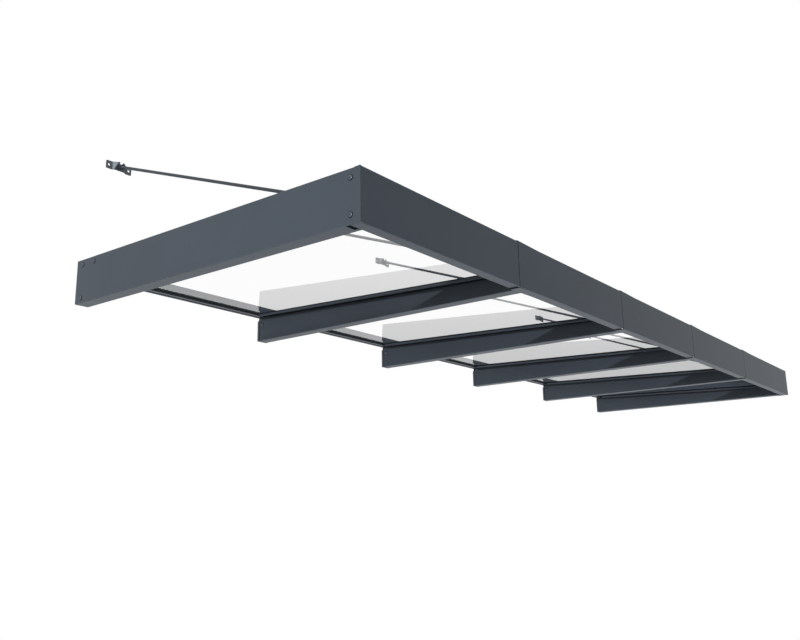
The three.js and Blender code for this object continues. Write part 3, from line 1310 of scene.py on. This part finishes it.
@dataclass
class RoofSheet(Assembly):
    """A clear sheet with sawn, slightly rounded edges."""

    index: int
    depth: Pair = (-899.0 * MM, -6.0 * MM)
    thickness: float = 4.0 * MM
    ease: float = 0.5 * MM
    least_level: float = 0.9

    def build(self) -> Pieces:
        """Builds the sheet.

        Returns:
            The sheet alone.
        """
        node = f"roof_sheet_{self.index}"
        box = Extent.of(node)
        front, back = self.depth
        work = Workpiece()
        work.block((box.low.x, front, 0), (box.high.x, back, self.thickness))
        work.eased(self.ease)
        work.painted(1, lambda face: abs(face.normal.z) < self.least_level)
        work.moved(ROOF.matrix)
        materials = [self.palette.clear, self.palette.edge]
        return [work.finished(f"clear_sheet_{self.index}", Slot.CLEAR_SHEET, materials, [node])]


@dataclass
class SheetGasket(Assembly):
    """The rubber under a sheet: a nose at the back and a strip along each bar, and a black strip under each
    bar's flange that paints the shade of the recess there.
    """

    index: int
    nose: float = 8.4 * MM
    nose_heights: Pair = (-3.4 * MM, -0.3 * MM)
    nose_inset: float = 12.0 * MM
    nose_back: float = -32.3 * MM
    strip: Pair = (30.0 * MM, 41.9 * MM)
    strip_heights: Pair = (-2.95 * MM, -0.15 * MM)
    # seal is a black strip under the bar's flange, between stem and lip, that paints the recess's shade.
    seal: Pair = (18.2 * MM, 39.7 * MM)
    seal_heights: Pair = (-6.6 * MM, -5.05 * MM)
    front: float = -898.0 * MM
    back: float = -41.5 * MM
    ease: float = 0.5 * MM
    ease_facets: int = 3

    def build(self) -> Pieces:
        """Builds the gasket.

        Returns:
            The gasket alone.
        """
        sheet = Extent.of(f"roof_sheet_{self.index}")
        low, high = self.nose_heights
        work = Workpiece()
        work.block(
            (sheet.low.x + self.nose_inset, self.nose_back - self.nose, low),
            (sheet.high.x - self.nose_inset, self.nose_back, high),
        )
        for side in Side:
            bar = sheet.face(side) + side.value * SHEET_INSET
            # Each bar gets the real gasket strip and a black strip that paints the shade under its flange.
            for across, (low, high) in ((self.strip, self.strip_heights), (self.seal, self.seal_heights)):
                left, right = sorted(bar - side.value * part for part in across)
                work.block((left, self.front, low), (right, self.back, high))
        work.eased(self.ease, self.ease_facets)
        work.moved(ROOF.matrix)
        nodes = [f"sheet_gasket_{self.index}"]
        return [work.finished(f"rubber_{self.index}", Slot.GASKET, [self.palette.rubber], nodes)]


@dataclass
class WallProfile(Assembly):
    """A flange on the wall, a shelf under the sheet whose groove and rebate are painted black as shade, and
    a seal lip above it.
    """

    index: int
    metal: float = 3.0 * MM
    shelf_metal: float = 2.5 * MM
    groove: Pair = (7.5 * MM, 14.0 * MM)
    rebate: Pair = (26.5 * MM, 32.0 * MM)
    groove_depth: float = 1.2 * MM
    rubber_inset: float = 0.5 * MM
    seal_depth: float = 12.0 * MM
    seal_lift: float = 8.9 * MM
    seal_metal: float = 1.6 * MM
    seal_inset: float = 17.0 * MM
    ledge_inset: float = 12.0 * MM
    ease: float = 0.35 * MM

    def build(self) -> Pieces:
        """Builds the profile.

        Returns:
            The profile alone.
        """
        node = f"wall_profile_{self.index}"
        box = Extent.of(node)
        sheet = Extent.of(f"roof_sheet_{self.index}")
        bottom = box.low.z
        seal = bottom + self.seal_lift
        ledge = (sheet.low.x + self.ledge_inset, sheet.high.x - self.ledge_inset)
        work = Workpiece()
        work.block((box.low.x, -self.metal, bottom), box.high)
        work.extruded(self._shelf_outline(bottom), Run.X, ledge)
        work.block(
            (sheet.low.x + self.seal_inset, -self.seal_depth, seal),
            (sheet.high.x - self.seal_inset, -self.metal, seal + self.seal_metal),
        )
        work.eased(self.ease)

        def in_groove(face: BMFace) -> bool:
            """Whether a face lies inside the groove or the rebate, which are painted black as shade.

            Args:
                face: A face of the profile.

            Returns:
                True for a face painted black as shade.
            """
            height, depth = face.calc_center_median().z - bottom, -face.calc_center_median().y
            is_deep = self.rubber_inset < height < self.groove_depth + TINY
            return abs(face.normal.x) < 0.5 and is_deep and depth > self.metal + TINY

        # Painted shade: the groove and the rebate take the black rubber so that they read dark.
        work.painted(1, in_groove)
        materials = [self.palette.coat, self.palette.rubber]
        return [work.finished(f"wall_rail_{self.index}", Slot.BAR, materials, [node])]

    def _shelf_outline(self, bottom: float) -> list[Pair]:
        """Section of the shelf with its groove, and the rebate in its front edge.

        Args:
            bottom: Height of the shelf's underside.

        Returns:
            The outline's points.
        """
        roof, top = bottom + self.groove_depth, bottom + self.shelf_metal
        (start, stop), (rebate, front) = self.groove, self.rebate
        points = [(self.metal, bottom), (start, bottom), (start, roof), (stop, roof), (stop, bottom)]
        points += [(rebate, bottom), (rebate, roof), (front, roof), (front, top), (self.metal, top)]
        return [(-depth, height) for depth, height in points]


@dataclass
class HatBracket(Assembly):
    """A pressed bracket of hat section: two ears with holes, and a slotted crown square to the rod."""

    index: int
    end: End
    metal: float = 2.0 * MM
    half_width: float = 38.0 * MM
    half_height: float = 11.0 * MM
    foot: float = 22.4 * MM
    crown: float = 9.75 * MM
    angle: float = math.radians(20.5)
    corner: float = 3.0 * MM
    corner_facets: int = 5
    fold: float = 1.6 * MM
    fold_facets: int = 3
    fold_angle: float = 20.0
    ease: float = 0.3 * MM
    hole_offset: float = 29.6 * MM
    hole: float = 6.5 * MM
    slot: float = 9.0 * MM
    drill_depth: float = 14.0 * MM
    drill_facets: int = 32
    slot_depth: float = 13.0 * MM
    slot_share: float = 0.98

    @property
    def node(self) -> str:
        """The solid it stands for."""
        return f"{self.end.value}_bracket_{self.index}"

    @property
    def matrix(self) -> Matrix:
        """From the bracket's own axes to the frame's.

        Returns:
            The matrix, which turns the bracket over at the front.
        """
        box = Extent.of(self.node)
        face, turn = (box.high.y, 0.0) if self.end is End.WALL else (box.low.y, math.pi)
        return Matrix.Translation((box.centre.x, face, box.centre.z)) @ Matrix.Rotation(turn, 4, "X")

    def build(self) -> Pieces:
        """Builds the bracket.

        Returns:
            The bracket alone.
        """
        work = Workpiece()
        bm = work.bm
        heights = (-self.half_height, self.half_height)
        rows = [[bm.verts.new(point) for point in self._row(height)] for height in heights]
        edges = [bm.edges.new(pair) for row in rows for pair in zip(row, row[1:])]
        bmesh.ops.bridge_loops(bm, edges=edges)
        bmesh.ops.recalc_face_normals(bm, faces=bm.faces[:])
        if sum(face.normal.y for face in bm.faces) > 0:
            bmesh.ops.reverse_faces(bm, faces=bm.faces[:])
        corners = [vert for vert in bm.verts if abs(abs(vert.co.x) - self.half_width) < TINY]
        work.bevel(corners, self.corner, self.corner_facets)
        work.eased(self.fold, self.fold_facets, self.fold_angle)
        work.thick(self.metal)
        self._drill(work)
        work.eased(self.ease)
        work.moved(self.matrix)
        return [work.finished(f"{self.node}_hat", Slot.ROD, [self.palette.bracket], [self.node])]

    def _row(self, height: float) -> list[Vector]:
        """Points of the outer face from ear to ear.

        Args:
            height: Their height in the bracket's own axes.

        Returns:
            The points.
        """
        out = self.crown + height * math.tan(self.angle)
        half = [
            Vector((self.half_width, -self.metal, height)),
            Vector((self.foot - self.metal, -self.metal, height)),
            Vector((self.foot - out, -out, height)),
        ]
        return half + [Vector((-point.x, point.y, point.z)) for point in reversed(half)]

    def _tools(self) -> bmesh.types.BMesh:
        """Shapes of the ears' holes and of the crown's slot, which is open at the top.

        Returns:
            The shapes, a little less wide where the slot's sides meet its round end.
        """
        tools = bmesh.new()
        upright = Matrix.Rotation(math.pi / 2, 4, "X")
        rod = Matrix.Translation((0, -self.crown, 0)) @ Matrix.Rotation(self.angle, 4, "X")
        ears = [Matrix.Translation((side.value * self.hole_offset, 0, 0)) for side in Side]
        for place, width in ((ears[0], self.hole), (ears[1], self.hole), (rod, self.slot)):
            bmesh.ops.create_cone(
                tools,
                cap_ends=True,
                segments=self.drill_facets,
                radius1=width / 2,
                radius2=width / 2,
                depth=self.drill_depth,
                matrix=place @ upright,
            )
        size = (self.slot_share * self.slot, self.slot_depth, 2 * self.half_height, 1)
        matrix = rod @ Matrix.Translation((0, 0, self.half_height)) @ Matrix.Diagonal(size)
        bmesh.ops.create_cube(tools, size=1.0, matrix=matrix)
        return tools

    def _drill(self, work: Workpiece) -> None:
        """Cuts the holes and the slot.

        Args:
            work: The bracket, not yet eased.
        """
        helpers = []
        tools = self._tools()
        for name, shape in (("blank", work.bm), ("drill", tools)):
            mesh = bpy.data.meshes.new(name)
            shape.to_mesh(mesh)
            helper = bpy.data.objects.new(name, mesh)
            bpy.context.scene.collection.objects.link(helper)
            helpers.append(helper)
        tools.free()
        blank, drill = helpers
        cut = blank.modifiers.new("holes", "BOOLEAN")
        cut.operation = "DIFFERENCE"
        cut.solver = "EXACT"
        cut.use_self = True
        cut.object = drill
        bpy.context.view_layer.update()
        result = blank.evaluated_get(bpy.context.evaluated_depsgraph_get()).to_mesh()
        work.bm.clear()
        work.bm.from_mesh(result)
        for helper in helpers:
            mesh = helper.data
            bpy.data.objects.remove(helper)
            bpy.data.meshes.remove(mesh)


@dataclass
class TieRod(Assembly):
    """A slanted rod with threaded ends and hexagon nuts on both brackets' crowns."""

    index: int
    radius: float = 4.0 * MM
    sides: int = 24
    thread_root: float = 3.4 * MM
    pitch: float = 1.0 * MM
    thread: float = 26.0 * MM
    chamfer: float = 0.4 * MM
    tail: float = 6.0 * MM
    crown: float = 9.75 * MM
    metal: float = 2.0 * MM
    gap: float = 0.3 * MM
    nut_radius: float = 7.5 * MM
    nut: float = 6.5 * MM
    thin_nut: float = 3.0 * MM
    nut_ease: float = 0.6 * MM

    def build(self) -> Pieces:
        """Builds the rod with its nuts, along Y, and turns it into place.

        Returns:
            The rod alone.
        """
        wall = Extent.of(f"wall_bracket_{self.index}")
        front = Extent.of(f"front_bracket_{self.index}")
        upper = Vector((wall.centre.x, wall.high.y - self.crown, wall.centre.z))
        lower = Vector((front.centre.x, front.low.y + self.crown, front.centre.z))
        reach = upper - lower
        behind = self.metal + self.gap
        work = Workpiece()
        work.turned(self._profile(reach.length), self.sides)
        for start, length in (
            (-self.gap - self.nut, self.nut),
            (behind, self.thin_nut),
            (-reach.length + self.gap, self.nut),
            (-reach.length - behind - self.thin_nut, self.thin_nut),
        ):
            self._add_nut(work, start + length / 2, length)
        turn = Matrix.Rotation(math.atan2(reach.z, reach.y), 4, "X")
        work.moved(Matrix.Translation(upper) @ turn)
        return [work.finished(f"rod_{self.index}", Slot.ROD, [self.palette.rod], [f"tie_rod_{self.index}"])]

    def _profile(self, length: float) -> list[Pair]:
        """Radius and place along the rod, threaded at both ends.

        Args:
            length: Distance between the crowns.

        Returns:
            The profile's points.
        """
        low, high = -length - self.tail, self.tail
        threaded = self.thread + self.tail
        tip = self.thread_root - self.chamfer
        points = [(0.0, low), (tip, low), *self._threads(low + self.chamfer)]
        points += [(self.radius, low + threaded + 2 * self.chamfer)]
        points += [(self.radius, high - threaded - 2 * self.chamfer)]
        points += self._threads(high - threaded - self.chamfer)
        return [*points, (tip, high), (0.0, high)]

    def _threads(self, start: float) -> list[Pair]:
        """Roots and ridges of one end's threads.

        Args:
            start: Where they start along the rod.

        Returns:
            Their points.
        """
        points = []
        for turn in range(round((self.thread + self.tail) / self.pitch)):
            root, ridge = (start + (turn + share) * self.pitch for share in (0.0, 0.5))
            points += [(self.thread_root, root), (self.radius, ridge)]
        return points

    def _add_nut(self, work: Workpiece, middle: float, length: float) -> None:
        """Adds a hexagon nut with chamfered ends.

        Args:
            work: The rod.
            middle: Where the nut's middle lies along the rod.
            length: The nut's length.
        """
        made = bmesh.ops.create_cone(
            work.bm,
            cap_ends=True,
            segments=HEXAGON,
            radius1=self.nut_radius,
            radius2=self.nut_radius,
            depth=length,
            matrix=Matrix.Translation((0, middle, 0)) @ Matrix.Rotation(math.pi / 2, 4, "X"),
        )["verts"]
        edges = dict.fromkeys(edge for vert in made for edge in vert.link_edges)
        rims = [edge for edge in edges if abs(edge.verts[0].co.y - edge.verts[1].co.y) < TINY]
        work.bevel(rims, self.nut_ease, 2)


@dataclass(frozen=True)
class PanScrew:
    """A low round screw head with a hexagon socket, on a thin black ring that paints the head's contact
    shadow.
    """

    radius: float = 4.9 * MM
    height: float = 3.2 * MM
    sides: int = 24
    rim_share: float = 0.4
    dome_shares: tuple[float, ...] = (0.93, 0.82, 0.66, 0.5)
    dome_fall: float = 0.95
    socket: float = 1.9 * MM
    socket_depth: float = 1.7 * MM
    washer: float = 6.0 * MM
    washer_metal: float = 0.7 * MM

    def _profile(self) -> list[Pair]:
        """Radius and height of the shadow ring and the dome, up to the socket.

        Returns:
            The profile's points.
        """
        points = [(self.washer, 0.0), (self.washer, self.washer_metal), (self.radius, self.washer_metal)]
        points.append((self.radius, self.rim_share * self.height))
        for share in self.dome_shares:
            points.append((self.radius * share, self.height * math.sqrt(1 - (self.dome_fall * share) ** 2)))
        return points

    def add(self, work: Workpiece, place: Vector, outward: Vector) -> None:
        """Adds a head to a workpiece, with the painted shadow ring in its second material.

        Args:
            work: The workpiece.
            place: Where the shadow ring lies.
            outward: Direction in which the head faces.
        """
        old = set(work.bm.verts)
        profile = self._profile()
        work.turned(profile, self.sides)
        self._add_socket(work, profile[-1][1], old)
        fresh = [vert for vert in work.bm.verts if vert not in old]
        # Painted shadow: the ring under the head takes the black rubber, as the head's contact shadow.
        for face in {face for vert in fresh for face in vert.link_faces}:
            if all(vert.co.y < self.washer_metal + TINY for vert in face.verts):
                face.material_index = 1
        turn = Run.Y.point(1.0).rotation_difference(outward).to_matrix().to_4x4()
        work.moved(Matrix.Translation(place) @ turn, fresh)

    def _add_socket(self, work: Workpiece, height: float, old: set[BMVert]) -> None:
        """Sinks the hexagon socket into the top of the dome.

        Args:
            work: The workpiece.
            height: Height of the socket's rim.
            old: Vertices that were there before the head.
        """
        matrix = Matrix.Translation((0, height, 0)) @ Matrix.Rotation(math.pi / 2, 4, "X")
        made = bmesh.ops.create_circle(work.bm, segments=HEXAGON, radius=self.socket, matrix=matrix)
        hexagon = made["verts"]
        inner = list(dict.fromkeys(edge for vert in hexagon for edge in vert.link_edges))
        fresh = [vert for vert in work.bm.verts if vert not in old]
        edges = dict.fromkeys(edge for vert in fresh for edge in vert.link_edges)
        level = [
            edge
            for edge in edges
            if edge.is_boundary and all(abs(vert.co.y - height) < TINY for vert in edge.verts)
        ]
        bmesh.ops.bridge_loops(work.bm, edges=list(dict.fromkeys([*level, *inner])))
        made = bmesh.ops.extrude_edge_only(work.bm, edges=inner)["geom"]
        bmesh.ops.translate(work.bm, verts=verts_of(made), vec=(0, -self.socket_depth, 0))
        bmesh.ops.contextual_create(work.bm, geom=[part for part in made if isinstance(part, BMEdge)])


@dataclass
class Screws(Assembly):
    """The visible screw heads of the frame, at heights above its underside."""

    head: PanScrew = PanScrew()
    side_places: tuple[Pair, ...] = (
        (-896.0 * MM, 92.0 * MM),
        (-896.0 * MM, 19.0 * MM),
        (-24.0 * MM, 97.5 * MM),
        (-71.0 * MM, 97.5 * MM),
        (-24.0 * MM, 12.5 * MM),
    )
    rafter_place: Pair = (-27.6 * MM, 47.9 * MM)
    wall_place: Pair = (-3.0 * MM, 105.0 * MM)
    wall_offset: float = 80.0 * MM

    def build(self) -> Pieces:
        """Builds the heads in groups.

        Returns:
            The heads of the sides, the rafters and the wall profiles.
        """
        pieces = []
        for side in Side:
            face = Extent.of(f"side_panel_{side.word}").face(side)
            outward = Run.X.point(side.value)
            heads = [(face, place, outward) for place in self.side_places]
            pieces.append(self._group(f"side_screws_{side.word}", heads))
        for index in range(1, RAFTERS + 1):
            box = Extent.of(f"rafter_cover_{index}")
            heads = [(box.face(side), self.rafter_place, Run.X.point(side.value)) for side in Side]
            pieces.append(self._group(f"rafter_screws_{index}", heads))
        for index in range(1, BAYS + 1):
            middle = Extent.of(f"roof_sheet_{index}").centre.x
            outward = Run.Y.point(-1.0)
            heads = [(middle + side.value * self.wall_offset, self.wall_place, outward) for side in Side]
            pieces.append(self._group(f"wall_screws_{index}", heads))
        return pieces

    def _group(self, name: str, heads: Sequence[tuple[float, Pair, Vector]]) -> bpy.types.Object:
        """Builds the heads of one group as a piece.

        Args:
            name: The piece's name.
            heads: Each head's place along the wall, its depth and height, and where it faces.

        Returns:
            The piece.
        """
        bottom = Extent.of("fascia_1").low.z
        work = Workpiece()
        for along, (depth, height), outward in heads:
            self.head.add(work, Vector((along, depth, bottom + height)), outward)
        return work.finished(name, Slot.ROD, [self.palette.screw, self.palette.rubber])


@dataclass(frozen=True)
class PhotoCamera:
    """The photo's camera, low in front of the left end and looking up."""

    place: Triple = (-2.61297, -1.85648, -0.61894)
    turn: float = math.radians(52.489)
    pitch: float = math.radians(13.294)
    roll: float = math.radians(-0.912)
    lens: float = 38.042
    sensor: float = 36.0
    near: float = 0.05

    def build(self) -> None:
        """Adds the camera to the scene."""
        data = bpy.data.cameras.new("photo_camera")
        data.lens = self.lens
        data.sensor_width = self.sensor
        data.sensor_fit = "HORIZONTAL"
        data.clip_start = self.near
        camera = bpy.data.objects.new("photo_camera", data)
        camera.matrix_world = (
            Matrix.Translation(self.place)
            @ Matrix.Rotation(-self.turn, 4, "Z")
            @ Matrix.Rotation(math.pi / 2 + self.pitch, 4, "X")
            @ Matrix.Rotation(self.roll, 4, "Z")
        )
        bpy.context.scene.collection.objects.link(camera)
        bpy.context.scene.camera = camera


@dataclass(frozen=True)
class SoftLight:
    """A rectangular light that shines in a direction and itself stays out of sight."""

    name: str
    size: Pair
    place: Triple
    travel: Triple
    power: float
    spread: float = math.pi
    mirrored: bool = False
    colour: Triple = WHITE

    def build(self) -> None:
        """Adds the light to the scene."""
        data = bpy.data.lights.new(self.name, "AREA")
        data.shape = "RECTANGLE"
        data.size, data.size_y = self.size
        data.color = self.colour
        data.energy = self.power
        data.spread = self.spread
        lamp = bpy.data.objects.new(self.name, data)
        turn = Vector(self.travel).to_track_quat("-Z", "Y").to_matrix().to_4x4()
        lamp.matrix_world = Matrix.Translation(self.place) @ turn
        bpy.context.scene.collection.objects.link(lamp)
        lamp.visible_camera = False
        lamp.visible_glossy = self.mirrored


@dataclass(frozen=True)
class Studio:
    """Pale floor, white background and four lights.

    The key light is a far strip, level with the fascia, so that the fascia's shadow on the rafters has a
    sharp edge while the rods' shadows are lost. The even light is dimmer from the front.
    """

    floor: FloorFinish = FloorFinish("floor", linear(226, 226, 225), linear(236, 236, 235))
    floor_centre: Triple = (0.0, -0.46, -2.3)
    floor_size: float = 8.0
    even_colour: Triple = (0.97, 0.98, 1.0)
    even_strengths: Pair = (0.07, 0.35)
    even_depths: Pair = (-0.7, 0.5)
    key: SoftLight = SoftLight(
        "key_light",
        (16.0, 0.3),
        (-38.0, -20.9, 6.82),
        (0.0, 0.947, -0.322),
        25400.0,
        mirrored=True,
        colour=(0.92, 0.965, 1.0),
    )
    left: SoftLight = SoftLight("left_light", (3.0, 0.25), (-3.6, -0.24, -0.036), (1.0, 0.0, 0.0), 16.0)
    under: SoftLight = SoftLight("under_light", (6.0, 4.0), (0.7, -0.36, -2.2), (0.0, 0.0, 1.0), 49.0, 0.9)
    top: SoftLight = SoftLight("top_light", (6.0, 5.0), (0.0, -0.46, 4.0), (0.0, 0.0, -1.0), 190.0)

    def build(self) -> None:
        """Adds floor, world and lights to the scene."""
        self._add_floor()
        self._add_world()
        for light in (self.key, self.left, self.under, self.top):
            light.build()
        bpy.context.scene.view_settings.view_transform = "Standard"

    def _add_floor(self) -> None:
        """Adds the floor."""
        bm = bmesh.new()
        matrix = Matrix.Translation(self.floor_centre)
        bmesh.ops.create_grid(bm, x_segments=1, y_segments=1, size=self.floor_size / 2, matrix=matrix)
        mesh = bpy.data.meshes.new("floor")
        bm.to_mesh(mesh)
        bm.free()
        mesh.materials.append(self.floor.make())
        floor = bpy.data.objects.new("floor", mesh)
        bpy.context.scene.collection.objects.link(floor)
        floor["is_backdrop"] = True

    def _add_world(self) -> None:
        """Makes the world white where it is seen or mirrored, and a low even light otherwise."""
        world = bpy.data.worlds.new("studio")
        bpy.context.scene.world = world
        graph = Graph(world)
        rays = ("Is Camera Ray", "Is Glossy Ray", "Is Transmission Ray")
        camera, glossy, through = (graph.node("ShaderNodeLightPath", {}, {}, ray) for ray in rays)
        heading = graph.node("ShaderNodeTexCoord", {}, {}, "Generated")
        depth = graph.node("ShaderNodeSeparateXYZ", {}, {0: heading}, "Y")
        dim, bright = (graph.background(self.even_colour, strength) for strength in self.even_strengths)
        even = graph.blend(depth.stretched(*self.even_depths), dim, bright)
        white = graph.background(WHITE, 1.0)
        seen = (camera + glossy + through).clamped()
        graph.output("ShaderNodeOutputWorld", graph.blend(seen, even, white))


def assemblies(palette: Palette) -> Iterator[Assembly]:
    """The canopy's sub-assemblies, in the order in which they are built.

    Args:
        palette: The materials that dress them.

    Yields:
        Each sub-assembly.
    """
    for side in Side:
        yield SidePanel(palette, side)
        for end in End:
            yield CornerAngle(palette, side, end)
    for bay in range(1, BAYS + 1):
        for kind in (Fascia, WallProfile, RoofSheet, SheetGasket):
            yield kind(palette, bay)
    for index in range(1, RAFTERS + 1):
        yield RafterCover(palette, index)
        yield RafterEndCap(palette, index)
    for index in range(1, RAFTERS + 1):
        centre = Extent.of(f"rafter_cover_{index}").centre.x
        yield RoofBar(palette, f"glazing_bar_{index}", centre, tuple(side.value for side in Side))
    for side, bay in ((Side.LEFT, 1), (Side.RIGHT, BAYS)):
        centre = Extent.of(f"roof_sheet_{bay}").face(side) + side.value * SHEET_INSET
        yield RoofBar(palette, f"edge_bar_{side.word}", centre, (-side.value,))
    for index in range(1, RODS + 1):
        yield TieRod(palette, index)
        for end in End:
            yield HatBracket(palette, index, end)
    yield Screws(palette)


def write_sizes(cad: tuple[Sequence[float], Sequence[float]]) -> None:
    """Gathers the boxes of the solids and of the visual model as plain lists, which are not written
    anywhere.

    Args:
        cad: Lowest and highest corner of the solids.
    """
    boxes = {"cad": cad, "visual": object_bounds()}
    plain = {name: [list(map(float, corner)) for corner in box] for name, box in boxes.items()}


def main() -> None:
    """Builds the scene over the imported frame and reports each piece."""
    logging.basicConfig(level=logging.INFO, format="%(name)s %(message)s")
    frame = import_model()
    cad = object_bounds()
    LOG.info("frame of %d solids", len(frame["nodes"]))
    for assembly in assemblies(Palette.make()):
        for piece in assembly.build():
            LOG.info("%s: %d faces", piece.name, len(piece.data.polygons))
    Studio().build()
    PhotoCamera().build()
    write_sizes(cad)


if __name__ == "__main__":
    main()
